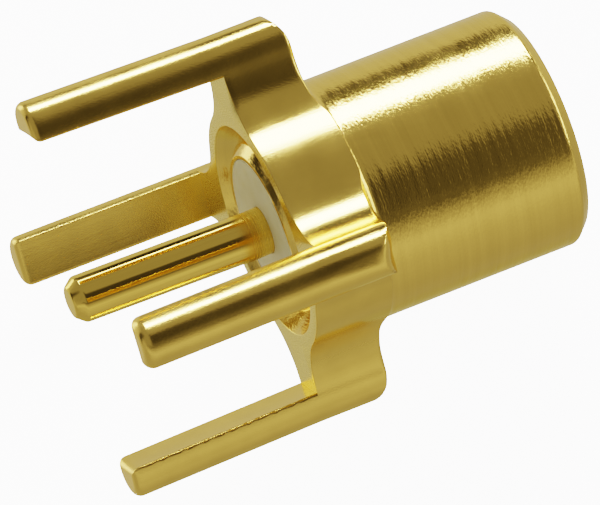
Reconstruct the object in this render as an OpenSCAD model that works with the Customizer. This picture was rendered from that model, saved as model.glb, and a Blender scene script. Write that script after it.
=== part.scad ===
// Straight through-hole coaxial jack for a printed circuit board, lying on its
// side as it comes to rest on a table.
// One-piece turned outer conductor with a four-lobed flange and four legs, a
// white insulator bead held by a rolled collar, and a centre contact that is a
// round solder pin behind and a slotted socket in front.
// Own frame: the origin is the centre of the board seat, +X runs towards the
// mouth along the part (dipping by the rest tilt), +Z is up.

/* [Barrel] */
// Outer diameter of the barrel
barrel_d = 4.8; // [4.7:0.05:5]
// Height of the mouth above the board seat
mouth_h = 5.87; // [5.7:0.01:6.4]
// Chamfer on the outer edge of the mouth
mouth_chamfer = 0.22; // [0.1:0.01:0.25]
// Diameter of the mating bore
bore_d = 3.64; // [3.6:0.01:3.7]
// Diameter of the snap groove in the mating bore
groove_d = 3.96; // [3.95:0.01:4.05]
// Width of the flat floor of the snap groove
groove_w = 0.35; // [0.2:0.05:0.5]
// Distance from the mouth to the near edge of the snap groove
groove_set = 1.1; // [1:0.05:1.3]
// Lead-in chamfer at the mouth of the bore
lead_in = 0.24; // [0.15:0.01:0.3]

/* [Flange] */
// Thickness of the lobed flange
flange_t = 1.52; // [1.45:0.01:1.7]
// Distance from the axis to the tip of a lobe
lobe_reach = 4.003; // [3.9:0.001:4.1]
// Width of a lobe between its flat flanks
lobe_w = 0.95; // [0.88:0.01:0.95]
// Radius of a lobe's rounded tip
lobe_tip_r = 0.48; // [0.48:0.01:0.6]
// Radius of the hollow fillet between a lobe and the round body
lobe_fillet = 1.45; // [1.3:0.05:1.6]
// Radial size of the turned chamfer on the front of the lobe tips
tip_chamfer_r = 0.5; // [0.3:0.05:0.6]
// Axial size of the turned chamfer on the front of the lobe tips
tip_chamfer_z = 0.3; // [0.2:0.01:0.4]
// Edge break along the front of the lobed outline
edge_break = 0.12; // [0.06:0.01:0.16]
// Radius of the hollow fillet between the barrel and the front of the flange
root_fillet = 0.18; // [0.12:0.01:0.22]

/* [Legs] */
// Length of a leg below the board seat
leg_len = 3.89; // [3.5:0.01:4.2]
// Distance from the axis to the flat inner face of a leg
leg_inner = 3.316; // [3.25:0.001:3.4]
// Width of a leg
leg_w = 0.906; // [0.9:0.001:0.93]
// Outward lean of each leg in degrees
leg_splay = 1.4; // [0:0.1:2]
// Edge break around the tip of a leg
leg_break = 0.15; // [0.08:0.01:0.2]

/* [Back recess] */
// Diameter of the recess where it opens in the back face
recess_d = 4.26; // [4.1:0.01:4.4]
// Diameter of the recess at its floor
recess_floor_d = 3.64; // [3.6:0.01:3.8]
// Depth of the recess
recess_depth = 0.5; // [0.4:0.05:0.6]
// Outer diameter of the rolled collar at its rim
collar_d = 3.04; // [3:0.01:3.1]
// Outer diameter of the collar below its flared rim
collar_root_d = 3.48; // [3.44:0.01:3.54]
// Depth at which the flare of the rim reaches that diameter
collar_flare = 0.21; // [0.15:0.01:0.3]
// Diameter of the opening in the rolled collar
collar_hole_d = 2.86; // [2.8:0.01:2.88]
// Depth of the collar's rim and the bead's face below the back face
rim_set = 0.04; // [0.02:0.01:0.08]

/* [Insulator] */
// Diameter of the bead
bead_d = 3.2; // [3.1:0.01:3.24]
// Distance from the board seat to the step that the bead is pushed against
bead_stop = 1.85; // [1.7:0.05:2]
// Thickness of that step
step_t = 0.3; // [0.2:0.05:0.4]
// Diameter of the insulator's nose around the socket
nose_d = 2.1; // [2:0.05:2.3]
// Distance from the mouth back to the end of the nose
nose_set = 1.75; // [1.7:0.05:2.2]

/* [Contact] */
// Diameter of the solder pin
pin_d = 0.924; // [0.9:0.002:0.95]
// Length of the solder pin below the board seat
pin_len = 4.02; // [3.9:0.01:4.4]
// Radial size of the chamfer on the pin's tip
pin_chamfer_r = 0.16; // [0.1:0.01:0.2]
// Axial size of the chamfer on the pin's tip
pin_chamfer_z = 0.2; // [0.1:0.01:0.3]
// Diameter of the socket
socket_d = 0.96; // [0.9:0.01:1]
// Diameter of the hole in the socket
socket_hole_d = 0.54; // [0.5:0.01:0.56]
// Depth of the hole in the socket
socket_depth = 1.9; // [1.6:0.1:2]
// Width of the cross slots in the socket
slot_w = 0.14; // [0.1:0.02:0.2]
// Length of the cross slots
slot_len = 1.5; // [1.2:0.1:1.6]

/* [Hidden] */
$fn = 96;
// radial clearance between pieces that are pushed into each other
gap = 0.01;
barrel_r = barrel_d / 2;
lobe_h = lobe_w / 2;
// where the lobe's flank runs into the hollow fillet, which meets the barrel
fillet_x = sqrt(pow(barrel_r + lobe_fillet - 0.008, 2) - pow(lobe_h + lobe_fillet, 2));
tip_x = lobe_reach - lobe_tip_r;
// the legs stand a hair proud of the lobes that they grow from
leg_proud = 0.008;
leg_h = leg_w / 2;
// rest on a table: two lobe tips and the edge of the mouth touch it
lobe_drop = tip_x * cos(45) + lobe_tip_r;
lobe_touch_r = norm([tip_x + lobe_tip_r * cos(45), lobe_tip_r * sin(45)]);
lobe_touch_z = flange_t - tip_chamfer_z * (1 - (lobe_reach - lobe_touch_r) / tip_chamfer_r);
rest_tilt = atan((lobe_drop - barrel_r) / (mouth_h - mouth_chamfer - lobe_touch_z));
// the snap groove has sloped sides
groove_slope = (groove_d - bore_d) / 2;
groove_z1 = mouth_h - groove_set;
groove_z0 = groove_z1 - groove_w - 2 * groove_slope;
// the bead's shoulder under the rolled collar
roll_z = recess_depth + 0.1;
nose_end = mouth_h - nose_set;
socket_end = nose_end - 0.15;
contact_seat = 1.0;
contact_collar_r = 0.6;

// Puts a shape that is drawn along its own axis into the lying frame
module lying() {
    rotate([0, 90 + rest_tilt, 0]) children();
}

// One lobe of the flange, pointing along +X, with its two hollow fillets
module lobe() {
    difference() {
        linear_extrude(flange_t)
            polygon([[0, 0], [fillet_x, -(lobe_h + lobe_fillet)], [fillet_x, lobe_h + lobe_fillet]]);
        for (s = [-1, 1])
            translate([fillet_x, s * (lobe_h + lobe_fillet), 0]) rotate_extrude()
                polygon([[0, -1], [lobe_fillet, -1], [lobe_fillet, flange_t - edge_break],
                         [lobe_fillet + 2 * edge_break, flange_t + edge_break], [0, flange_t + edge_break]]);
    }
    translate([fillet_x - 0.5, 0, 0]) rotate([90, 0, 90]) linear_extrude(tip_x - fillet_x + 0.5)
        polygon([[-lobe_h, 0], [lobe_h, 0], [lobe_h, flange_t - edge_break], [lobe_h - edge_break, flange_t],
                 [edge_break - lobe_h, flange_t], [-lobe_h, flange_t - edge_break]]);
    intersection() {
        translate([tip_x, 0, 0]) cylinder(r = lobe_tip_r, h = flange_t);
        translate([tip_x - 0.05, 0, 0]) rotate([90, 0, 90]) linear_extrude(2)
            polygon([[-lobe_h, -1], [lobe_h, -1], [lobe_h, flange_t - edge_break], [lobe_h - 2 * edge_break, flange_t + edge_break],
                     [2 * edge_break - lobe_h, flange_t + edge_break], [-lobe_h, flange_t - edge_break]]);
    }
}

// Room over a lobe's front face, just inside its edge break
module lobe_front(h) {
    difference() {
        linear_extrude(h)
            polygon([[0, 0], [fillet_x, -(lobe_h + lobe_fillet)], [fillet_x, lobe_h + lobe_fillet]]);
        for (s = [-1, 1])
            translate([fillet_x, s * (lobe_h + lobe_fillet), -1]) cylinder(r = lobe_fillet + edge_break + 0.02, h = h + 2);
    }
}

// One D-section leg that leans outwards, pointing down from a lobe on +X
module leg() {
    root = 0.12;
    pivot = (leg_inner + lobe_reach) / 2;
    arc_r = lobe_tip_r + leg_proud;
    top = leg_len + root;
    translate([pivot, 0, 0]) rotate([0, -leg_splay, 0]) translate([-pivot, 0, -leg_len])
        intersection() {
            // round outer face
            union() {
                translate([leg_inner, -leg_h, 0]) cube([tip_x - leg_inner, leg_w, top]);
                translate([tip_x, 0, 0]) rotate_extrude()
                    polygon([[0, 0], [arc_r - leg_break, 0], [arc_r, leg_break], [arc_r, top], [0, top]]);
            }
            // flat inner face
            translate([0, 1, 0]) rotate([90, 0, 0]) linear_extrude(2)
                polygon([[leg_inner + leg_break, 0], [5, 0], [5, top + 1], [leg_inner, top + 1], [leg_inner, leg_break]]);
            // flat sides
            translate([leg_inner - 1, 0, 0]) rotate([90, 0, 90]) linear_extrude(3)
                polygon([[leg_break - leg_h, 0], [leg_h - leg_break, 0], [leg_h, leg_break], [leg_h, top + 1],
                         [-leg_h, top + 1], [-leg_h, leg_break]]);
        }
}

// Turned outer conductor: barrel, flange, legs and rolled collar in one piece
module body() {
    color([0.80, 0.70, 0.36])
    lying() difference() {
        union() {
            // barrel with its chamfered mouth
            rotate_extrude()
                polygon([[0, 0], [barrel_r, 0], [barrel_r, mouth_h - mouth_chamfer],
                         [barrel_r - mouth_chamfer, mouth_h], [0, mouth_h]]);
            // lobed flange, its tips chamfered on the front
            intersection() {
                for (k = [0:3]) rotate([0, 0, 45 + 90 * k]) lobe();
                rotate_extrude()
                    polygon([[0, -1], [lobe_reach + tip_chamfer_r, -1],
                             [lobe_reach + tip_chamfer_r, flange_t - 2 * tip_chamfer_z],
                             [lobe_reach - tip_chamfer_r, flange_t], [lobe_reach - tip_chamfer_r, flange_t + 1],
                             [0, flange_t + 1]]);
            }
            // hollow fillet between the barrel and the front of each lobe
            intersection() {
                for (k = [0:3]) rotate([0, 0, 45 + 90 * k]) lobe_front(flange_t + 1);
                rotate_extrude()
                    polygon(concat([[barrel_r - 0.3, flange_t + root_fillet], [barrel_r - 0.3, flange_t - 0.1],
                                    [barrel_r + root_fillet, flange_t - 0.1]],
                                   [for (i = [6:-1:0]) [barrel_r + root_fillet * (1 - cos(15 * i)),
                                                        flange_t + root_fillet * (1 - sin(15 * i))]]));
            }
            for (k = [0:3]) rotate([0, 0, 45 + 90 * k]) leg();
        }
        // recess around the rolled collar
        rotate_extrude()
            polygon([[recess_d / 2, -0.5], [recess_d / 2, 0], [recess_floor_d / 2, recess_depth],
                     [collar_root_d / 2, recess_depth], [collar_root_d / 2, collar_flare],
                     [collar_d / 2, rim_set], [collar_d / 2, -0.5]]);
        // opening of the collar, the bead's seat and the step in front of it
        rotate_extrude()
            polygon([[0, -0.5], [collar_d / 2 + 0.02, -0.5], [collar_d / 2 + 0.02, rim_set], [collar_hole_d / 2, rim_set],
                     [bead_d / 2, roll_z], [bead_d / 2, bead_stop],
                     [nose_d / 2 + gap, bead_stop], [nose_d / 2 + gap, bead_stop + step_t + 0.5], [0, bead_stop + step_t + 0.5]]);
        // mating bore with its snap groove and lead-in
        rotate_extrude()
            polygon([[0, bead_stop + step_t], [bore_d / 2, bead_stop + step_t], [bore_d / 2, groove_z0],
                     [groove_d / 2, groove_z0 + groove_slope], [groove_d / 2, groove_z1 - groove_slope],
                     [bore_d / 2, groove_z1], [bore_d / 2, mouth_h - lead_in],
                     [bore_d / 2 + lead_in, mouth_h], [bore_d / 2 + lead_in, mouth_h + 1], [0, mouth_h + 1]]);
    }
}

// White bead that holds the contact on the axis, with a nose around the socket
module insulator() {
    color([0.93, 0.91, 0.86])
    lying() rotate_extrude()
        polygon([[pin_d / 2 + gap, rim_set], [collar_hole_d / 2 - gap, rim_set],
                 [bead_d / 2 - gap, roll_z + gap], [bead_d / 2 - gap, bead_stop],
                 [nose_d / 2, bead_stop], [nose_d / 2, nose_end], [contact_collar_r + gap, nose_end],
                 [contact_collar_r + gap, contact_seat], [pin_d / 2 + gap, contact_seat]]);
}

// Centre contact: solder pin, captive groove, seating collar and slotted socket
module contact() {
    color([0.85, 0.67, 0.30])
    lying() difference() {
        rotate_extrude()
            polygon([[0, -pin_len], [pin_d / 2 - pin_chamfer_r, -pin_len], [pin_d / 2, -pin_len + pin_chamfer_z],
                     [pin_d / 2, 0.14], [0.3, 0.26], [0.3, 0.55], [pin_d / 2, 0.65], [pin_d / 2, contact_seat],
                     [contact_collar_r, contact_seat], [contact_collar_r, contact_seat + 0.4],
                     [socket_d / 2, contact_seat + 0.5], [socket_d / 2, socket_end - 0.08],
                     [socket_d / 2 - 0.08, socket_end], [0, socket_end]]);
        translate([0, 0, socket_end - socket_depth]) cylinder(d = socket_hole_d, h = socket_depth + 1);
        translate([0, 0, socket_end - 0.08])
            cylinder(r1 = socket_hole_d / 2, r2 = socket_hole_d / 2 + 0.1, h = 0.1);
        for (a = [0, 90]) rotate([0, 0, a])
            translate([-1, -slot_w / 2, socket_end - slot_len]) cube([2, slot_w, slot_len + 1]);
    }
}

body();
insulator();
contact();
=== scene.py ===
import math

import bpy
import bmesh
import numpy as np
from mathutils import Matrix, Vector


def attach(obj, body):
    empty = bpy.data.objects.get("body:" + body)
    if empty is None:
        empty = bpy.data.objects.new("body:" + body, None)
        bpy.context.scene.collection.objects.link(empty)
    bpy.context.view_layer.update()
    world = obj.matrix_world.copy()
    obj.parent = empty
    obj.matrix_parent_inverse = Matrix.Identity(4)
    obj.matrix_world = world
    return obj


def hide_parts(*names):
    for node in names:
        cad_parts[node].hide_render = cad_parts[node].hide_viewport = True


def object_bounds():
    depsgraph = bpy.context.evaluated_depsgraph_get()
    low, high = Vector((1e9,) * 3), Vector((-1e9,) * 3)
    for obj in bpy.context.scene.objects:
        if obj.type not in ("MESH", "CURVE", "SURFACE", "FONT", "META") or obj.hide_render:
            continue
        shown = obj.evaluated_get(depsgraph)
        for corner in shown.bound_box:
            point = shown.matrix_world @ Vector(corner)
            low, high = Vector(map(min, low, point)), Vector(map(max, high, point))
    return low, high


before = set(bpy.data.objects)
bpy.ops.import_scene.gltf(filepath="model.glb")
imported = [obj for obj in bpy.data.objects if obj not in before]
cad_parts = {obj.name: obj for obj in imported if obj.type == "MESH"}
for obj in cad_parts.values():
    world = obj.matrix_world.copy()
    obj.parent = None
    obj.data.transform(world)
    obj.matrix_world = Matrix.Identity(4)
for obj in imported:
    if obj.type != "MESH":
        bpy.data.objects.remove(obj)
CAD_BOX = [list(v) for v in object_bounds()]

# ---------------------------------------------------------------- dimensions
# millimetres, in the part's own axis frame: z = 0 is the board seat, +z runs to
# the mouth, lobes and legs stand at 45 degrees + 90 k
BARREL_R = 2.4
MOUTH = 5.87
CHAMFER = 0.225
BORE_R = 1.82
GROOVE_R = 1.98
LEAD_IN = 0.24
FLANGE = 1.465
HOLLOW_R = 2.425
LOBE_REACH = 4.003
FILLET_R = 1.4
EDGE = 0.11
ROOT = 0.215
LEG_LEN = (3.92, 3.89, 3.89, 3.935)
LEG_TIP = (0.15, 0.16, 0.23, 0.18)
LEG_CORNER = 0.045
LEG_IN = 3.295
LEG_HOLLOW = 7.0
# outward lean of the four legs in degrees, lobe by lobe
LEG_LEAN = (0.84, 1.5, 1.33, 1.23)
RECESS_R, RECESS_Z = 2.13, 0.5
COLLAR_R, COLLAR_ROOT_R, COLLAR_HOLE_R = 1.52, 1.74, 1.43
RIM = 0.04
BEAD_R, BEAD_STOP, STEP = 1.6, 1.85, 0.3
NOSE_R, NOSE_END = 1.05, 4.12
PIN_R, PIN_LEN, PIN_CH_R, PIN_CH_Z = 0.469, 4.02, 0.163, 0.205
SOCKET_R, SOCKET_END = 0.48, 3.97
SOCKET_HOLE_R, SOCKET_DEPTH, SLOT_W, SLOT_LEN = 0.27, 1.9, 0.14, 1.5
GAP = 0.01

# the part lies on two lobe tips and the edge of its mouth
cad_tip_x = 4.003 - 0.48
drop = cad_tip_x * math.cos(math.pi / 4) + 0.48
touch_r = math.hypot(cad_tip_x + 0.48 * math.cos(math.pi / 4), 0.48 * math.sin(math.pi / 4))
touch_z = 1.52 - 0.3 * (1 - (4.003 - touch_r) / 0.5)
TILT = math.atan((drop - 2.4) / (5.87 - 0.22 - touch_z))
AXIS = Vector((math.cos(TILT), 0.0, -math.sin(TILT)))
DOWN = Vector((-math.sin(TILT), 0.0, -math.cos(TILT)))
SIDE = Vector((0.0, 1.0, 0.0))
TO_ROW = np.array([list(DOWN), list(SIDE), list(AXIS)]) * 0.001


def to_row(points):
    """Points in the axis frame, millimetres, to the row frame, metres."""
    return np.asarray(points, float) @ TO_ROW


# ------------------------------------------------------------------- outlines
N_HOLLOW, N_FILLET, N_TIP = 8, 28, 26
# lobe and leg are round on the outside: arcs (end angle in degrees, radius) from the middle of
# the tip round to the flank, for the -y and the +y side of each lobe
ROUND = ((135, 0.5),)
SIDES = ((ROUND, ROUND),
         (((33, 0.60), (135, 0.5)), ((33, 0.60), (62, 0.33), (135, 0.85))),
         (((15, 0.54), (60, 0.40), (135, 0.66)), ((19, 0.54), (70, 0.58), (135, 0.3))),
         (((75, 0.48), (135, 1.0)), ROUND))


def arc(cx, cy, r, a0, a1, n, last=False):
    a = np.linspace(a0, a1, n + (1 if last else 0), endpoint=last)
    return np.c_[cx + r * np.cos(a), cy + r * np.sin(a)]


def solve(f, lo, hi):
    """Where a falling function crosses zero."""
    for _ in range(50):
        mid = (lo + hi) / 2
        lo, hi = (mid, hi) if f(mid) > 0 else (lo, mid)
    return (lo + hi) / 2


class Flank:
    """One side of a lobe and of its leg, for a lobe on +x, y > 0."""

    def __init__(self, arcs):
        self.arcs = []
        p, a = np.array([LOBE_REACH, 0.0]), 0.0
        for end, r in arcs:
            c = p - r * np.array([math.cos(a), math.sin(a)])
            a = math.radians(end)
            p = c + r * np.array([math.cos(a), math.sin(a)])
            self.arcs.append((a, c, r))
        # the flank leaves the arcs where a hollow fillet runs from it into the round body
        self.leave = solve(lambda q: self.fillet(q)[0] - FILLET_R, math.radians(80), math.radians(125))
        self.centre = self.fillet(self.leave)[1]

    def at(self, angles, inset=0.0):
        """Points by the direction that the side faces there."""
        a = np.atleast_1d(np.asarray(angles, float))
        out, start = np.empty((len(a), 2)), -1.0
        for end, c, r in self.arcs:
            m = (a > start) & (a <= end)
            out[m] = c + (r - inset) * np.c_[np.cos(a[m]), np.sin(a[m])]
            start = end
        return out

    def fillet(self, a):
        p, q = self.at(a)[0], np.array([math.cos(a), math.sin(a)])
        r = (p @ p - HOLLOW_R ** 2) / (2 * (HOLLOW_R - p @ q))
        return r, p + r * q

    def half(self, inset=0.0):
        """From the middle of the hollow to the middle of the tip."""
        x, y = self.centre
        meet = math.atan2(y, x)
        hollow = arc(0, 0, HOLLOW_R - inset, math.pi / 4, meet, N_HOLLOW)
        fillet = arc(x, y, FILLET_R + inset, meet + math.pi, self.leave + math.pi, N_FILLET)
        return np.r_[hollow, fillet, self.at(np.linspace(self.leave, 0, N_TIP + 1), inset)]

    def leg(self, inset=0.0, corner=LEG_CORNER):
        """A leg's outer side from the flank to the tip, its inner corner, and where the flat inner face starts."""
        x0, rho = LEG_IN + inset, max(corner - inset, 0.004)
        turn = solve(lambda q: self.at(q, inset + rho)[0, 0] - x0 - rho, 0.0, math.radians(134))
        leave = min(self.leave, turn - 0.003)
        y = self.at(turn, inset + rho)[0, 1]
        corner = np.r_[self.at(np.linspace(leave, turn, 3, endpoint=False), inset), arc(x0 + rho, y, rho, turn, math.pi, 6)]
        return self.at(np.linspace(leave, 0, N_TIP + 1), inset), corner, y


FLANKS = [(Flank(lo), Flank(hi)) for lo, hi in SIDES]


N_HALF = N_HOLLOW + N_FILLET + N_TIP
N_OPEN = N_HOLLOW + N_FILLET  # columns before the flank
N_QUARTER = 2 * N_HALF
COLUMNS = 4 * N_QUARTER


def turned(points, k):
    a = math.pi / 4 + k * math.pi / 2
    c, s = math.cos(a), math.sin(a)
    return points @ np.array([[c, s], [-s, c]])


def outline(inset=0.0):
    """All columns in order of rising angle: each lobe from the hollow on its -y side, over the tip, to the +y side."""
    lobes = []
    for k, (lo, hi) in enumerate(FLANKS):
        lobe = np.r_[lo.half(inset) * np.array([1, -1]), hi.half(inset)[::-1][1:]]
        lobes.append(turned(lobe[:N_QUARTER], k))
    return np.r_[tuple(lobes)]


BASE = outline()
THETA = np.arctan2(BASE[:, 1], BASE[:, 0])
UNIT = np.c_[np.cos(THETA), np.sin(THETA)]
# column numbers inside a quarter: the half lobe runs hollow -> tip (0 .. N_HALF), then back
TIP_LO, TIP_HI = N_OPEN, 2 * N_HALF - N_OPEN
IN_QUARTER = np.arange(COLUMNS) % N_QUARTER
# how far a column is from a leg: 0 on a leg, 1 well away from it
AWAY = np.clip(np.maximum(TIP_LO - IN_QUARTER, IN_QUARTER - TIP_HI) / 9.0, 0, 1)
AWAY = AWAY * AWAY * (3 - 2 * AWAY)


class Mesh:
    """Collects vertices and faces, then makes one object."""

    def __init__(self):
        self.v, self.f, self.m, self.n = [], [], [], 0

    def loop(self, points):
        ids = np.arange(self.n, self.n + len(points))
        self.v.append(np.asarray(points, float))
        self.n += len(points)
        return ids

    def strip(self, a, b, mat, closed=True, skip=None):
        n = len(a)
        for i in range(n if closed else n - 1):
            j = (i + 1) % n
            if skip is not None and skip(i):
                continue
            self.f.append((a[i], a[j], b[j], b[i]))
            self.m.append(mat)

    def face(self, ids, mat):
        self.f.append(tuple(ids))
        self.m.append(mat)

    def build(self, name, materials, merge=2e-9, sharp=32):
        points = to_row(np.vstack(self.v))
        mesh = bpy.data.meshes.new(name)
        mesh.from_pydata(points.tolist(), [], [tuple(int(i) for i in f) for f in self.f])
        mesh.polygons.foreach_set("material_index", np.array(self.m, np.int32))
        bm = bmesh.new()
        bm.from_mesh(mesh)
        bmesh.ops.remove_doubles(bm, verts=bm.verts, dist=merge)
        bmesh.ops.dissolve_degenerate(bm, edges=bm.edges, dist=merge)
        bmesh.ops.recalc_face_normals(bm, faces=bm.faces)
        bm.to_mesh(mesh)
        bm.free()
        mesh.update()
        for m in materials:
            mesh.materials.append(m)
        mesh.polygons.foreach_set("use_smooth", np.ones(len(mesh.polygons), bool))
        mesh.set_sharp_from_angle(angle=math.radians(sharp))
        obj = bpy.data.objects.new(name, mesh)
        bpy.context.scene.collection.objects.link(obj)
        return obj


def weight_normals(obj):
    """Flat faces keep their own normal next to small edge roundings."""
    w = obj.modifiers.new("weighted", "WEIGHTED_NORMAL")
    w.mode = "FACE_AREA"
    w.weight = 50
    w.keep_sharp = True
    bake_modifiers(obj)


def bake_modifiers(obj):
    dg = bpy.context.evaluated_depsgraph_get()
    done = bpy.data.meshes.new_from_object(obj.evaluated_get(dg), preserve_all_data_layers=True, depsgraph=dg)
    old = obj.data
    obj.modifiers.clear()
    obj.data = done
    done.name = obj.name
    bpy.data.meshes.remove(old)


def rounded(profile, radii, steps=4):
    """A polyline in (r, z) with its corners rounded: radii gives each corner's radius, 0 for sharp."""
    p = [np.array(q, float) for q in profile]
    out = []
    for i, q in enumerate(p):
        r = radii[i] if 0 < i < len(p) - 1 else 0
        if r <= 0:
            out.append(q)
            continue
        a, b = p[i - 1] - q, p[i + 1] - q
        la, lb = np.linalg.norm(a), np.linalg.norm(b)
        a, b = a / la, b / lb
        angle = math.acos(float(np.clip(a @ b, -1, 1)))
        cut = min(r / math.tan(angle / 2), 0.48 * la, 0.48 * lb)
        r = cut * math.tan(angle / 2)
        mid = (a + b) / np.linalg.norm(a + b)
        c = q + mid * (r / math.sin(angle / 2))
        v0, v1 = q + a * cut - c, q + b * cut - c
        sweep = math.acos(float(np.clip(v0 @ v1 / (np.linalg.norm(v0) * np.linalg.norm(v1)), -1, 1)))
        for s in range(steps + 1):
            t = s / steps
            w = (math.sin((1 - t) * sweep) * v0 + math.sin(t * sweep) * v1) / math.sin(sweep)
            out.append(c + w)
    return np.array(out)


def revolve(mesh, profile, mats, segments=256, closed=False):
    """Adds a profile of (r, z) turned about the axis; mats is one number, or one per segment."""
    a = np.linspace(0, 2 * math.pi, segments, endpoint=False)
    loops = []
    for r, z in profile:
        loops.append(mesh.loop(np.c_[r * np.cos(a), r * np.sin(a), np.full(segments, z)]))
    for i in range(len(loops) - (0 if closed else 1)):
        m = mats if isinstance(mats, int) else mats[i]
        mesh.strip(loops[i], loops[(i + 1) % len(loops)], m)
    return loops


# ------------------------------------------------------------------ materials
class Nodes:
    """A short way to write a node tree."""

    def __init__(self, tree):
        self.t = tree
        tree.nodes.clear()

    def add(self, kind, **settings):
        n = self.t.nodes.new(kind)
        for k, v in settings.items():
            setattr(n, k, v)
        return n

    def put(self, socket, value):
        if isinstance(value, bpy.types.NodeSocket):
            self.t.links.new(value, socket)
        else:
            socket.default_value = value

    def math(self, op, a, b=None, c=None, clamp=False):
        n = self.add("ShaderNodeMath", operation=op, use_clamp=clamp)
        for i, x in enumerate((a, b, c)):
            if x is not None:
                self.put(n.inputs[i], x)
        return n.outputs[0]

    def dot(self, vector, to):
        n = self.add("ShaderNodeVectorMath", operation="DOT_PRODUCT")
        self.put(n.inputs[0], vector)
        n.inputs[1].default_value = tuple(to)
        return n.outputs["Value"]

    def combine(self, x, y, z):
        n = self.add("ShaderNodeCombineXYZ")
        for i, q in enumerate((x, y, z)):
            self.put(n.inputs[i], q)
        return n.outputs[0]

    def noise(self, vector, scale, detail=2.0, rough=0.5):
        n = self.add("ShaderNodeTexNoise")
        self.put(n.inputs["Vector"], vector)
        n.inputs["Scale"].default_value = scale
        n.inputs["Detail"].default_value = detail
        n.inputs["Roughness"].default_value = rough
        return n.outputs[0]

    def ramp(self, value, lo, hi, a, b, smooth=False):
        n = self.add("ShaderNodeMapRange", interpolation_type="SMOOTHSTEP" if smooth else "LINEAR")
        self.put(n.inputs["Value"], value)
        n.inputs["From Min"].default_value = lo
        n.inputs["From Max"].default_value = hi
        n.inputs["To Min"].default_value = a
        n.inputs["To Max"].default_value = b
        return n.outputs[0]

    def mix(self, factor, a, b):
        n = self.add("ShaderNodeMix", data_type="RGBA")
        self.put(n.inputs[0], factor)
        self.put(n.inputs[6], a)
        self.put(n.inputs[7], b)
        return n.outputs[2]

    def bump(self, height, distance, strength=1.0, normal=None):
        n = self.add("ShaderNodeBump")
        n.inputs["Strength"].default_value = strength
        n.inputs["Distance"].default_value = distance
        self.put(n.inputs["Height"], height)
        if normal is not None:
            self.put(n.inputs["Normal"], normal)
        return n.outputs[0]


def axis_coords(n):
    """Own-axis coordinates in millimetres: across (two) and along, with the turn about the axis."""
    p = n.add("ShaderNodeTexCoord").outputs["Object"]
    x = n.dot(p, DOWN * 1000)
    y = n.dot(p, SIDE * 1000)
    z = n.dot(p, AXIS * 1000)
    turn = n.math("ARCTAN2", y, x)
    return x, y, z, turn


def metal(name, colour, tint, build):
    mat = bpy.data.materials.new(name)
    mat.use_nodes = True
    n = Nodes(mat.node_tree)
    out = n.add("ShaderNodeOutputMaterial")
    b = n.add("ShaderNodeBsdfPrincipled")
    b.inputs["Metallic"].default_value = 1.0
    b.inputs["Specular Tint"].default_value = (*tint, 1)
    n.t.links.new(b.outputs[0], out.inputs["Surface"])
    base, rough, normal = build(n, colour)
    n.put(b.inputs["Base Color"], base)
    n.put(b.inputs["Roughness"], rough)
    n.put(b.inputs["Normal"], normal)
    return mat


def shade(c, k):
    return (c[0] * k, c[1] * k, c[2] * k, 1)


def turned_finish(n, c):
    """Short uneven turning marks round the axis, over a satin grain."""
    x, y, z, turn = axis_coords(n)
    lines = n.noise(n.combine(n.math("MULTIPLY", x, 0.2), n.math("MULTIPLY", y, 0.2), n.math("MULTIPLY", z, 9.0)), 1.0, 3.0, 0.6)
    marks = n.noise(n.combine(n.math("MULTIPLY", x, 0.9), n.math("MULTIPLY", y, 0.9), n.math("MULTIPLY", z, 7.5)), 1.0, 0.5, 0.5)
    slow = n.noise(n.combine(n.math("MULTIPLY", x, 0.9), n.math("MULTIPLY", y, 0.9), n.math("MULTIPLY", z, 1.6)), 1.0, 2.0, 0.5)
    grain = n.noise(n.combine(n.math("MULTIPLY", x, 12.0), n.math("MULTIPLY", y, 12.0), n.math("MULTIPLY", z, 36.0)), 1.0, 1.0, 0.5)
    h = n.math("MULTIPLY", marks, n.ramp(slow, 0.35, 0.65, 0.45, 1.0))
    normal = n.bump(h, 0.000010)
    normal = n.bump(lines, 0.000009, normal=normal)
    normal = n.bump(grain, 0.0000042, normal=normal)
    base = n.mix(n.ramp(lines, 0.3, 0.7, 0.0, 1.0), shade(c, 0.95), shade(c, 1.04))
    rough = n.math("ADD", n.ramp(slow, 0.3, 0.7, 0.12, 0.17), n.ramp(grain, 0.3, 0.7, -0.02, 0.03))
    return base, rough, normal


def drawn_finish(n, c):
    """Faint draw lines along the axis over a smooth satin surface."""
    x, y, z, turn = axis_coords(n)
    draw = n.noise(n.combine(n.math("MULTIPLY", x, 14.0), n.math("MULTIPLY", y, 14.0), n.math("MULTIPLY", z, 0.5)), 1.0, 2.0, 0.5)
    grain = n.noise(n.combine(x, y, z), 34.0, 1.0, 0.5)
    cloud = n.noise(n.combine(x, y, z), 1.6, 2.0, 0.5)
    normal = n.bump(draw, 0.0000012)
    normal = n.bump(grain, 0.0000018, normal=normal)
    base = n.mix(n.ramp(cloud, 0.3, 0.7, 0.0, 1.0), shade(c, 0.95), shade(c, 1.04))
    rough = n.math("ADD", n.ramp(cloud, 0.3, 0.7, 0.13, 0.17), n.ramp(grain, 0.3, 0.7, -0.02, 0.03))
    # duller on the legs than on the flange
    rough = n.math("ADD", rough, n.ramp(z, -0.7, 0.1, 0.06, 0.0))
    # and where the cutter ran out in one hollow
    rough = n.math("ADD", rough, n.math("MULTIPLY", n.ramp(turn, -1.42, -1.24, 0.0, 0.3), n.ramp(turn, -1.12, -0.98, 1.0, 0.0)))
    return base, rough, normal


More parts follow.
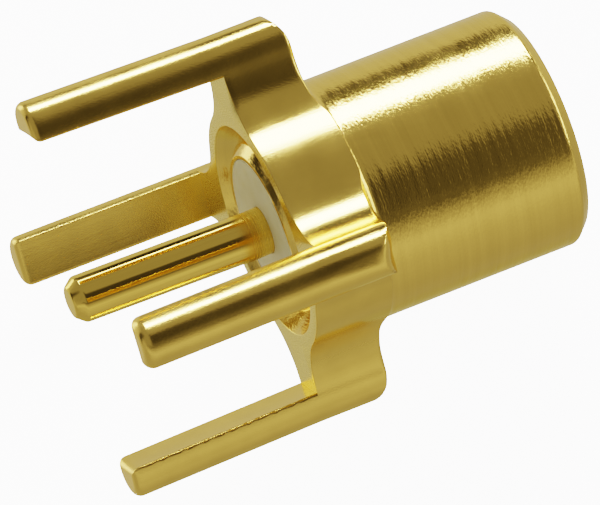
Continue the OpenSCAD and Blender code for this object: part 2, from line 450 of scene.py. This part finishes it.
def faced_finish(n, c):
    """Faced end: a finer satin with faint rings."""
    x, y, z, turn = axis_coords(n)
    r = n.math("SQRT", n.math("ADD", n.math("MULTIPLY", x, x), n.math("MULTIPLY", y, y)))
    rings = n.noise(n.combine(n.math("MULTIPLY", r, 22.0), n.math("MULTIPLY", turn, 0.6), 0.0), 1.0, 2.0, 0.6)
    grain = n.noise(n.combine(x, y, z), 36.0, 2.0, 0.6)
    normal = n.bump(rings, 0.000001)
    normal = n.bump(grain, 0.0000012, normal=normal)
    base = n.mix(n.ramp(rings, 0.3, 0.7, 0.0, 1.0), shade(c, 0.95), shade(c, 1.03))
    rough = n.ramp(grain, 0.3, 0.7, 0.24, 0.32)
    return base, rough, normal


def pin_finish(n, c):
    """Polished, with very fine turning lines and a few faint scratches."""
    x, y, z, turn = axis_coords(n)
    lines = n.noise(n.combine(n.math("MULTIPLY", x, 0.6), n.math("MULTIPLY", y, 0.6), n.math("MULTIPLY", z, 26.0)), 1.0, 2.0, 0.5)
    draw = n.noise(n.combine(n.math("MULTIPLY", x, 16.0), n.math("MULTIPLY", y, 16.0), n.math("MULTIPLY", z, 0.4)), 1.0, 2.0, 0.5)
    normal = n.bump(lines, 0.0000002)
    normal = n.bump(draw, 0.0000006, normal=normal)
    base = n.mix(n.ramp(draw, 0.3, 0.7, 0.0, 1.0), shade(c, 0.95), shade(c, 1.03))
    # duller next to the insulator
    rough = n.math("ADD", n.ramp(lines, 0.3, 0.7, 0.08, 0.13), n.ramp(z, -0.75, -0.25, 0.0, 0.17, smooth=True))
    return base, rough, normal


GOLD = (0.90, 0.665, 0.205)
TINT = (0.98, 0.97, 0.88)
gold_turned = metal("gold_turned", GOLD, TINT, turned_finish)
gold_drawn = metal("gold_drawn", GOLD, TINT, drawn_finish)
gold_faced = metal("gold_faced", (0.89, 0.72, 0.235), TINT, faced_finish)
gold_pin = metal("gold_pin", (0.92, 0.68, 0.195), (0.96, 0.94, 0.80), pin_finish)


def plastic():
    mat = bpy.data.materials.new("ptfe_white")
    mat.use_nodes = True
    n = Nodes(mat.node_tree)
    out = n.add("ShaderNodeOutputMaterial")
    b = n.add("ShaderNodeBsdfPrincipled")
    n.t.links.new(b.outputs[0], out.inputs["Surface"])
    x, y, z, turn = axis_coords(n)
    r = n.math("SQRT", n.math("ADD", n.math("MULTIPLY", x, x), n.math("MULTIPLY", y, y)))
    rings = n.noise(n.combine(n.math("MULTIPLY", r, 18.0), n.math("MULTIPLY", turn, 0.5), n.math("MULTIPLY", z, 12.0)), 1.0, 2.0, 0.6)
    cloud = n.noise(n.combine(x, y, z), 2.4, 3.0, 0.55)
    base = n.mix(n.ramp(cloud, 0.3, 0.7, 0.0, 1.0), (0.90, 0.87, 0.57, 1), (0.95, 0.93, 0.65, 1))
    n.put(b.inputs["Base Color"], base)
    n.put(b.inputs["Roughness"], n.ramp(rings, 0.3, 0.7, 0.42, 0.55))
    n.put(b.inputs["Normal"], n.bump(rings, 0.000003))
    b.inputs["IOR"].default_value = 1.38
    b.inputs["Subsurface Weight"].default_value = 0.15
    b.inputs["Subsurface Radius"].default_value = (0.3, 0.28, 0.25)
    b.inputs["Subsurface Scale"].default_value = 0.0004
    return mat


ptfe = plastic()

# ----------------------------------------------------------------------- body
TURNED, DRAWN, FACED = 0, 1, 2
body = Mesh()


def circle(r, z):
    return np.c_[UNIT * np.asarray(r).reshape(-1, 1), np.broadcast_to(z, (COLUMNS,))]


ONES = np.ones(COLUMNS)
chain = []  # (loop ids, material of the strip that follows)


def add_circle(r, z, mat):
    chain.append((body.loop(circle(r * ONES, z)), mat))


# bore, from the step in front of the bead out to the mouth, then down the barrel
inner = rounded(
    [(NOSE_R + GAP, BEAD_STOP + STEP), (BORE_R, BEAD_STOP + STEP), (BORE_R, 4.10), (GROOVE_R, 4.26),
     (GROOVE_R, 4.61), (BORE_R, 4.77), (BORE_R, MOUTH - LEAD_IN), (BORE_R + LEAD_IN, MOUTH),
     (BARREL_R - CHAMFER, MOUTH), (BARREL_R, MOUTH - CHAMFER), (BARREL_R, FLANGE + 0.4)],
    [0, 0.06, 0.03, 0.03, 0.03, 0.03, 0.04, 0.03, 0.05, 0.14, 0], steps=4)
for r, z in inner[:-1]:
    add_circle(r, z, TURNED)
for z in np.linspace(FLANGE + 3.4, FLANGE + 0.4, 7):
    add_circle(BARREL_R, z, TURNED)

# the lobes' outer corners are rounded off in a wide curve, turned about the axis; each lobe's
# curve on its -y and +y side
DRAFT = 0.02
SOFT = np.array([[(0.75, 0.40), (0.75, 0.40)], [(0.62, 0.34), (0.62, 0.34)], [(0.75, 0.40), (1.0, 0.52)], [(0.75, 0.40), (0.75, 0.40)]])
side_w = np.clip((IN_QUARTER - N_HALF) / 13.0 + 0.5, 0, 1)
side_w = (side_w * side_w * (3 - 2 * side_w))[:, None]
lobe_of = np.arange(COLUMNS) // N_QUARTER
SOFT_R, SOFT_Z = (SOFT[lobe_of, 0] * (1 - side_w) + SOFT[lobe_of, 1] * side_w).T


def tip_limit(z):
    """Largest radius at a height, column by column."""
    t = np.clip((np.asarray(z) - (FLANGE - SOFT_Z)) / SOFT_Z, 0, 1)
    return LOBE_REACH - DRAFT * np.clip(np.asarray(z) - 0.12, 0, 1) - SOFT_R * (1 - np.sqrt(1 - t * t))


# edge break along the flange's front, only a hair in the hollows, where the wall runs into the fillet
BASE_R = np.hypot(BASE[:, 0], BASE[:, 1])
ease = np.clip((BASE_R - 2.5) / 0.55, 0, 1)
edge = 0.012 + (EDGE - 0.012) * ease * ease * (3 - 2 * ease)
INWARD = (outline(EDGE) - BASE) / EDGE


def inset_by(amount):
    return BASE + INWARD * np.asarray(amount).reshape(-1, 1)


front = inset_by(edge)
front_r = np.minimum(np.hypot(front[:, 0], front[:, 1]), LOBE_REACH - DRAFT - SOFT_R)
# fillet between barrel and flange front, as wide as the flange front leaves room for
room = np.clip(front_r - BARREL_R, 0.0, ROOT)


def fillet_z(r):
    return FLANGE + ROOT - np.sqrt(np.maximum(ROOT ** 2 - np.maximum(BARREL_R + ROOT - r, 0.0) ** 2, 0.0))


for t in np.linspace(1, 0, 10):
    r = BARREL_R + room * (1 - math.sin(t * math.pi / 2))
    chain.append((body.loop(np.c_[UNIT * r[:, None], fillet_z(r)]), FACED if t == 0 else TURNED))
top_z = fillet_z(front_r)


# flange front edge: rounded edge break along the outline, cone across the lobe tips
def flange_loop(inset, z):
    q = inset_by(inset)
    r = np.hypot(q[:, 0], q[:, 1])
    keep = np.minimum(1.0, tip_limit(z) / r)
    return np.c_[q * keep[:, None], z]


for t in np.linspace(0, 1, 9):
    chain.append((body.loop(flange_loop(edge * (1 - math.sin(t * math.pi / 2)), top_z - edge * (1 - math.cos(t * math.pi / 2)))), DRAWN))
wall_top = top_z - edge
for z in (1.325, 1.278, 1.23, 1.18, 1.13, 1.065, 0.9, 0.6, 0.3, 0.12):
    share = (z - 0.12) / (FLANGE - EDGE - 0.12)
    chain.append((body.loop(flange_loop(0.0, 0.12 + (wall_top - 0.12) * share)), DRAWN))

# back edge with a hair of an edge break that fades out at the legs
BACK = 0.016
full, tucked = outline(0.0), outline(BACK)
beta = BACK * AWAY
for t in np.linspace(0, 1, 4):
    cut = beta * (1 - math.cos(t * math.pi / 2))
    w = np.where(beta > 0, cut / BACK, 0.0)[:, None]
    z = beta * (1 - math.sin(t * math.pi / 2))
    chain.append((body.loop(np.c_[full * (1 - w) + tucked * w, z]), DRAWN))
seat_outer = chain[-1][0]

# inner line of the seat: the outline, but along the flat inner face where a leg stands
n_in = TIP_HI - TIP_LO + 1


def inner_corners(k, z):
    """Radii of a leg's two inner edges: the cutter has left one edge of two legs uneven."""
    f = 0.62 * math.sin(21 * z + 1.3) + 0.38 * math.sin(34 * z + 0.7)
    f *= min(1.0, -z / 0.25)
    lo = LEG_CORNER + (0.02 * f if k == 3 else 0.0)
    return lo, 0.0015 + 0.05 * max(0.0, f) ** 2 if k == 0 else LEG_CORNER


def leg_sides(k, inset=0.0, z=0.0):
    """A leg's section: its round outer side and its nearly flat, slightly hollow inner side, both from -y to +y and as many points."""
    rho_lo, rho_hi = inner_corners(k, z)
    (lo, lo_corner, lo_y), (hi, hi_corner, hi_y) = FLANKS[k][0].leg(inset, rho_lo), FLANKS[k][1].leg(inset, rho_hi)
    flip = np.array([1, -1])
    y = np.linspace(-lo_y, hi_y, n_in - len(lo_corner) - len(hi_corner))
    flat = np.c_[LEG_IN + inset + (hi_y - y) * (y + lo_y) / (2 * LEG_HOLLOW), y]
    return np.r_[lo * flip, hi[::-1][1:]], np.r_[lo_corner * flip, flat, hi_corner[::-1]]


seat_points = np.vstack(body.v)[seat_outer].copy()
for k in range(4):
    cols = k * N_QUARTER + np.arange(TIP_LO, TIP_HI + 1)
    q = turned(leg_sides(k)[1], k)
    seat_points[cols % COLUMNS, :2] = q
seat_inner = body.loop(seat_points)
on_leg = lambda i: TIP_LO <= i % N_QUARTER < TIP_HI
for (a, m), (b, _) in zip(chain[:-1], chain[1:]):
    body.strip(a, b, m)
body.strip(seat_outer, seat_inner, FACED, skip=on_leg)

# back face, recess, rolled collar and the bead's seat, closing on the first loop
back = rounded(
    [(RECESS_R + 0.1, 0.0), (RECESS_R, 0.0), (RECESS_R - 0.31, RECESS_Z), (COLLAR_ROOT_R, RECESS_Z), (COLLAR_ROOT_R, 0.21), (COLLAR_R, RIM),
     (COLLAR_HOLE_R, RIM), (BEAD_R, RECESS_Z + 0.1), (BEAD_R, BEAD_STOP), (NOSE_R + GAP, BEAD_STOP)],
    [0, 0.02, 0.05, 0.04, 0.12, 0.03, 0.02, 0.03, 0.02, 0], steps=5)
tail = []
for i, (r, z) in enumerate(back):
    tail.append(body.loop(circle(r * ONES, z)))
body.strip(seat_inner, tail[0], FACED)
for i, (a, b) in enumerate(zip(tail[:-1], tail[1:])):
    body.strip(a, b, FACED if back[i][1] < 0.02 and back[i][0] > RECESS_R - 0.001 else TURNED)
body.strip(tail[-1], chain[0][0], TURNED)

# legs
Z_STEPS = (64, 24, 24, 64)
for k in range(4):
    lean = math.tan(math.radians(LEG_LEAN[k]))
    cols = (k * N_QUARTER + np.arange(TIP_LO, TIP_HI + 1)) % COLUMNS
    top = np.r_[seat_outer[cols], seat_inner[cols][::-1][1:-1]]
    tip = LEG_TIP[k]
    straight = LEG_LEN[k] - tip
    levels = [(0.0, z) for z in np.linspace(0, -straight, Z_STEPS[k] + 1)[1:]]
    levels += [(tip * (1 - math.cos(t)), -straight - tip * math.sin(t)) for t in np.radians([10, 20, 30, 40, 50, 60, 70, 80, 90])]
    before = top
    for inset, z in levels:
        outer, inside = leg_sides(k, inset, z)
        ring = np.r_[outer, inside[::-1][1:-1]]
        ring = ring + np.array([-z * lean, 0.0])
        now = body.loop(np.c_[turned(ring, k), np.full(len(ring), z)])
        body.strip(before, now, DRAWN)
        before = now
    for i in range(n_in - 1):
        a, b = before[i], before[i + 1]
        lo = before[0] if i == 0 else before[len(before) - i]
        hi = before[n_in - 1] if i + 1 == n_in - 1 else before[len(before) - (i + 1)]
        ids = [a, b, hi, lo]
        ids = [q for j, q in enumerate(ids) if q not in ids[:j]]
        if len(ids) > 2:
            body.face(ids, DRAWN)

body_obj = body.build("jack_body", [gold_turned, gold_drawn, gold_faced])
weight_normals(body_obj)

# ------------------------------------------------------------------ insulator
bead = Mesh()
prof = rounded(
    [(PIN_R + GAP, RIM), (COLLAR_HOLE_R - GAP, RIM), (BEAD_R - GAP, RECESS_Z + 0.1 + GAP), (BEAD_R - GAP, BEAD_STOP),
     (NOSE_R, BEAD_STOP), (NOSE_R, NOSE_END), (0.6 + GAP, NOSE_END), (0.6 + GAP, 1.0), (PIN_R + GAP, 1.0)],
    [0, 0.02, 0.02, 0.02, 0, 0.06, 0.04, 0, 0], steps=4)
revolve(bead, prof, 0, 192, closed=True)
bead_obj = bead.build("jack_insulator", [ptfe])
weight_normals(bead_obj)

# -------------------------------------------------------------------- contact
pin = Mesh()
hole0 = SOCKET_END - SOCKET_DEPTH
prof = rounded(
    [(0.0005, -PIN_LEN), (PIN_R - PIN_CH_R, -PIN_LEN), (PIN_R, -PIN_LEN + PIN_CH_Z), (PIN_R, -0.3), (PIN_R, 0.0), (PIN_R, 0.14), (0.3, 0.26), (0.3, 0.55),
     (PIN_R, 0.65), (PIN_R, 1.0), (0.6, 1.0), (0.6, 1.4), (SOCKET_R, 1.5), (SOCKET_R, SOCKET_END - 0.08),
     (SOCKET_R - 0.08, SOCKET_END), (SOCKET_HOLE_R + 0.08, SOCKET_END), (SOCKET_HOLE_R, SOCKET_END - 0.08),
     (SOCKET_HOLE_R, hole0), (0.0005, hole0)],
    [0, 0.1, 0.14, 0, 0, 0, 0, 0, 0, 0, 0.02, 0.02, 0, 0.05, 0.03, 0.03, 0.04, 0, 0], steps=5)
loops = revolve(pin, prof, 0, 192)
pin.face(loops[0][::-1], 0)
pin.face(loops[-1], 0)
# the pin leans by a hair below the seat
for i, v in enumerate(pin.v):
    depth = np.maximum(0.0, -v[:, 2])
    lean = 0.016 * np.clip(depth / 0.3, 0, 1) - 0.0138 * depth
    v[:, 0] += lean * math.cos(math.radians(315)) - 0.0039 * depth * math.cos(math.radians(225))
    v[:, 1] += lean * math.sin(math.radians(315)) - 0.0039 * depth * math.sin(math.radians(225))
pin_obj = pin.build("jack_contact", [gold_pin])
cutter = Mesh()
for swap in (False, True):
    w, l = SLOT_W / 2, 1.0
    z0, z1 = SOCKET_END - SLOT_LEN, SOCKET_END + 0.5
    q = [(-l, -w), (l, -w), (l, w), (-l, w)]
    q = [(b, -a) for a, b in q] if swap else q
    lo = cutter.loop([(a, b, z0) for a, b in q])
    hi = cutter.loop([(a, b, z1) for a, b in q])
    cutter.strip(lo, hi, 0)
    cutter.face(lo[::-1], 0)
    cutter.face(hi, 0)
cutter_obj = cutter.build("slot_cutter", [gold_pin])
cut = pin_obj.modifiers.new("slots", "BOOLEAN")
cut.operation = "DIFFERENCE"
cut.solver = "EXACT"
cut.use_self = True
cut.object = cutter_obj
bake_modifiers(pin_obj)
bpy.data.objects.remove(cutter_obj)
pin_obj.data.set_sharp_from_angle(angle=math.radians(32))
weight_normals(pin_obj)

for obj, node, slot in ((body_obj, "body", "gold_body"), (bead_obj, "insulator", "white_ptfe"), (pin_obj, "contact", "gold_contact")):
    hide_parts(node)
    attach(obj, "root")

# ---------------------------------------------------------------------- stage
FLOOR_Z = CAD_BOX[0][2] - 0.000002
floor_mesh = bpy.data.meshes.new("floor")
size = 1.2
floor_mesh.from_pydata([(-size, -size, FLOOR_Z), (size, -size, FLOOR_Z), (size, size, FLOOR_Z), (-size, size, FLOOR_Z)], [], [(0, 1, 2, 3)])
floor = bpy.data.objects.new("floor", floor_mesh)
bpy.context.scene.collection.objects.link(floor)
fmat = bpy.data.materials.new("floor_paper")
fmat.use_nodes = True
fn = Nodes(fmat.node_tree)
fo = fn.add("ShaderNodeOutputMaterial")
fb = fn.add("ShaderNodeBsdfPrincipled")
fn.t.links.new(fb.outputs[0], fo.inputs["Surface"])
fb.inputs["Base Color"].default_value = (0.86, 0.86, 0.86, 1)
fb.inputs["Emission Color"].default_value = (1.0, 1.0, 1.0, 1)
fb.inputs["Emission Strength"].default_value = 5.0
fb.inputs["Roughness"].default_value = 0.9
fb.inputs["Specular IOR Level"].default_value = 0.1
floor_mesh.materials.append(fmat)
floor.visible_glossy = False
floor.visible_diffuse = False
floor.visible_shadow = False
floor.visible_transmission = False

# reflector card along the near side, palest low down; only reflections see it
CARD_Y, CARD_LO, CARD_HI, CARD_X = -14.35, -3.2, 9.4, 32.0
card_mesh = bpy.data.meshes.new("card")
card_mesh.from_pydata([tuple(-DOWN * (q * 0.001) + SIDE * (CARD_Y * 0.001) + AXIS * (w * 0.001)) for q, w in
                       ((CARD_LO, -CARD_X), (CARD_LO, CARD_X), (CARD_HI, CARD_X), (CARD_HI, -CARD_X))], [], [(0, 1, 2, 3)])
card = bpy.data.objects.new("card", card_mesh)
bpy.context.scene.collection.objects.link(card)
cmat = bpy.data.materials.new("card_white")
cmat.use_nodes = True
cn = Nodes(cmat.node_tree)
co = cn.add("ShaderNodeOutputMaterial")
ce = cn.add("ShaderNodeEmission")
ce.inputs["Color"].default_value = (1.0, 0.915, 0.765, 1)
cn.t.links.new(ce.outputs[0], co.inputs["Surface"])
height = cn.dot(cn.add("ShaderNodeTexCoord").outputs["Object"], DOWN * -1000)
cn.put(ce.inputs["Strength"], cn.math("MINIMUM", cn.ramp(height, -3.0, 1.9, 0.45, 0.60), cn.ramp(height, 1.9, 9.2, 0.60, 0.085)))
card_mesh.materials.append(cmat)
card.visible_camera = False
card.visible_diffuse = False
card.visible_shadow = False
card.visible_transmission = False

# dark cloth over the legs' end, fading out towards the barrel; only reflections see it
cloth_mesh = bpy.data.meshes.new("cloth")
cloth_mesh.from_pydata([tuple(-DOWN * (q * 0.001) + SIDE * (y * 0.001) + AXIS * (w * 0.001)) for w in (-5.5, 7.0)
                        for q, y in ((9.4, -14.35), (14.0, -14.35), (14.0, -3.2))], [], [(0, 1, 4, 3), (1, 2, 5, 4)])
cloth = bpy.data.objects.new("cloth", cloth_mesh)
bpy.context.scene.collection.objects.link(cloth)
dmat = bpy.data.materials.new("cloth_dark")
dmat.use_nodes = True
dn = Nodes(dmat.node_tree)
do = dn.add("ShaderNodeOutputMaterial")
de = dn.add("ShaderNodeEmission")
de.inputs["Color"].default_value = (1.0, 0.915, 0.78, 1)
dt = dn.add("ShaderNodeBsdfTransparent")
dm = dn.add("ShaderNodeMixShader")
cloth_at = dn.add("ShaderNodeTexCoord").outputs["Object"]
fade = dn.ramp(dn.dot(cloth_at, AXIS * 1000), 2.6, 5.6, 0, 1, smooth=True)
fade = dn.math("MAXIMUM", fade, dn.ramp(dn.dot(cloth_at, SIDE * 1000), -5.2, -3.2, 0, 1, smooth=True))
dn.put(dm.inputs[0], fade)
dn.put(de.inputs["Strength"], dn.ramp(dn.dot(cloth_at, DOWN * -1000), 9.4, 13.5, 0.17, 0.062))
dn.t.links.new(de.outputs[0], dm.inputs[1])
dn.t.links.new(dt.outputs[0], dm.inputs[2])
dn.t.links.new(dm.outputs[0], do.inputs["Surface"])
cloth_mesh.materials.append(dmat)
cloth.visible_camera = False
cloth.visible_diffuse = False
cloth.visible_shadow = False
cloth.visible_transmission = False

# painted shade: a small dark card in the gap between two legs, which the rolled collar reflects, paints a dark strip
# on the collar where the narrow recess lies in shade; only reflections see it
collar_shade_card_mesh = bpy.data.meshes.new("collar_shade_card")
collar_shade_card_mesh.from_pydata([tuple(-DOWN * (q * 0.001) + SIDE * 0.0022 + AXIS * (w * 0.001)) for q, w in
                       ((0.72, -2.9), (1.42, -2.9), (1.42, -0.75), (0.72, -0.75))], [], [(0, 1, 2, 3)])
collar_shade_card = bpy.data.objects.new("collar_shade_card", collar_shade_card_mesh)
bpy.context.scene.collection.objects.link(collar_shade_card)
gmat = bpy.data.materials.new("painted_collar_shade")
gmat.use_nodes = True
gn = Nodes(gmat.node_tree)
go = gn.add("ShaderNodeOutputMaterial")
ge = gn.add("ShaderNodeEmission")
ge.inputs["Color"].default_value = (1.0, 0.915, 0.78, 1)
# painted shade: the card's dim glow is what the collar shows as its dark strip
ge.inputs["Strength"].default_value = 0.03
gn.t.links.new(ge.outputs[0], go.inputs["Surface"])
collar_shade_card_mesh.materials.append(gmat)
collar_shade_card.visible_camera = False
collar_shade_card.visible_diffuse = False
collar_shade_card.visible_shadow = False
collar_shade_card.visible_transmission = False

# soft studio: a pale tent, one large softbox on the far side and the dim side behind the camera
world = bpy.data.worlds.new("studio")
bpy.context.scene.world = world
world.use_nodes = True
n = Nodes(world.node_tree)
wo = n.add("ShaderNodeOutputWorld")
bg = n.add("ShaderNodeBackground")
n.t.links.new(bg.outputs[0], wo.inputs["Surface"])
direction = n.add("ShaderNodeTexCoord").outputs["Generated"]
u = n.dot(direction, -DOWN)
s = n.dot(direction, SIDE)
a = n.dot(direction, AXIS)
h = n.dot(direction, (0, 0, 1))
around = n.math("MULTIPLY", n.math("ARCTAN2", s, u), 57.29578)
below = n.ramp(h, -0.03, 0.03, 1, 0, smooth=True)


def window(value, a0, a1, b0, b1):
    """1 between a1 and b0, falling off to 0 at a0 and b1."""
    return n.math("MULTIPLY", n.ramp(value, a0, a1, 0, 1, smooth=True), n.ramp(value, b0, b1, 1, 0, smooth=True))


def patch(level, mask, value):
    """Sets the level to value where the mask is 1."""
    keep = n.math("MULTIPLY", level, n.math("SUBTRACT", 1.0, mask))
    return n.math("MULTIPLY_ADD", mask, value, keep)


level = n.ramp(h, 0.0, 0.5, 0.45, 0.28, smooth=True)
# mouth side wall
level = patch(level, n.ramp(a, 0.76, 0.92, 0, 1, smooth=True), 3.0)
# zones on the upper side run slightly aslant to the part's axis
aslant = n.math("MULTIPLY_ADD", n.math("SUBTRACT", a, 0.24), 38.0, around)
# dim behind the legs on the far side, and behind the camera
far = n.ramp(s, 0.05, 0.3, 0, 1, smooth=True)
level = patch(level, n.math("MULTIPLY", n.ramp(a, -0.87, -0.79, 1, 0, smooth=True), far), 0.07)
level = patch(level, n.math("MULTIPLY", n.math("MULTIPLY", n.ramp(around, -104, -96, 0, 1), n.ramp(aslant, -22, -13, 1, 0, smooth=True)), window(a, -0.35, -0.15, 0.42, 0.60)), n.ramp(around, -61, -51, 0.14, 0.098))
# gap under the softbox
level = patch(level, window(aslant, 65, 69, 84, 92), 0.09)
# softbox on the far side
softbox = n.math("MULTIPLY", window(around, 39.5, 45, 57.7, 65.3), window(a, -0.12, -0.02, 0.52, 0.62))
level = patch(level, softbox, 16.0)
# table: paler on the far side and towards the near edge, with the light's own spot behind the legs
table = n.ramp(s, -0.2, 0.6, 0.37, 0.56, smooth=True)
table = patch(table, n.math("MULTIPLY", n.ramp(h, -0.75, -0.05, 0, 1), n.ramp(s, -0.5, -0.7, 0, 1, smooth=True)), 0.51)
table = patch(table, n.math("MULTIPLY", window(around, 85, 95, 126, 142), window(a, -0.57, -0.51, -0.36, -0.26)), 2.2)
table = patch(table, n.math("MULTIPLY", n.ramp(a, -0.88, -0.80, 1, 0, smooth=True), far), 0.04)
level = patch(level, below, table)
# the table right under the part is warmed by the gold above it
colour = n.mix(n.ramp(u, -0.88, -1.0, 0, 1, smooth=True), (1.0, 0.915, 0.78, 1), (1.0, 0.905, 0.50, 1))
n.put(bg.inputs["Color"], n.mix(softbox, colour, (1.0, 0.99, 0.97, 1)))
n.put(bg.inputs["Strength"], level)

# --------------------------------------------------------------------- camera
ALPHA, THETA_C, ROLL = -0.36993070, 1.32677439, -0.32200263
SCALE, OX, OY, DIST = 52.45137, 262.1132, 230.7069, 1 / 0.0050798287
uu = Vector((math.cos(ALPHA), math.sin(ALPHA), 0))
nn = Vector((-math.sin(ALPHA), math.cos(ALPHA), 0))
away = Vector((0, 0, 1))
zc = uu * math.sin(THETA_C) + away * math.cos(THETA_C)
ew = uu * math.cos(THETA_C) - away * math.sin(THETA_C)
xc = nn * math.cos(ROLL) + ew * math.sin(ROLL)
yc = nn * -math.sin(ROLL) + ew * math.cos(ROLL)
xf = (DOWN - SIDE) / math.sqrt(2)
yf = (-DOWN - SIDE) / math.sqrt(2)
rot = Matrix((xc, yc, zc)).transposed() @ Matrix((xf, yf, AXIS))
right, down, forward = rot[0].copy(), rot[1].copy(), rot[2].copy()
cam_data = bpy.data.cameras.new("camera")
cam = bpy.data.objects.new("camera", cam_data)
bpy.context.scene.collection.objects.link(cam)
cam_data.sensor_fit = "HORIZONTAL"
cam_data.sensor_width = 36.0
cam_data.lens = SCALE * DIST * 36.0 / 600.0
cam_data.shift_x = (300.0 - OX) / 600.0
cam_data.shift_y = (OY - 252.5) / 600.0
cam_data.clip_start = 0.01
cam_data.clip_end = 10.0
basis = Matrix((right, -down, -forward)).transposed().to_4x4()
basis.translation = forward * (-DIST * 0.001)
cam.matrix_world = basis
bpy.context.scene.camera = cam
bpy.context.scene.view_settings.view_transform = "Filmic"
bpy.context.scene.view_settings.look = "High Contrast"
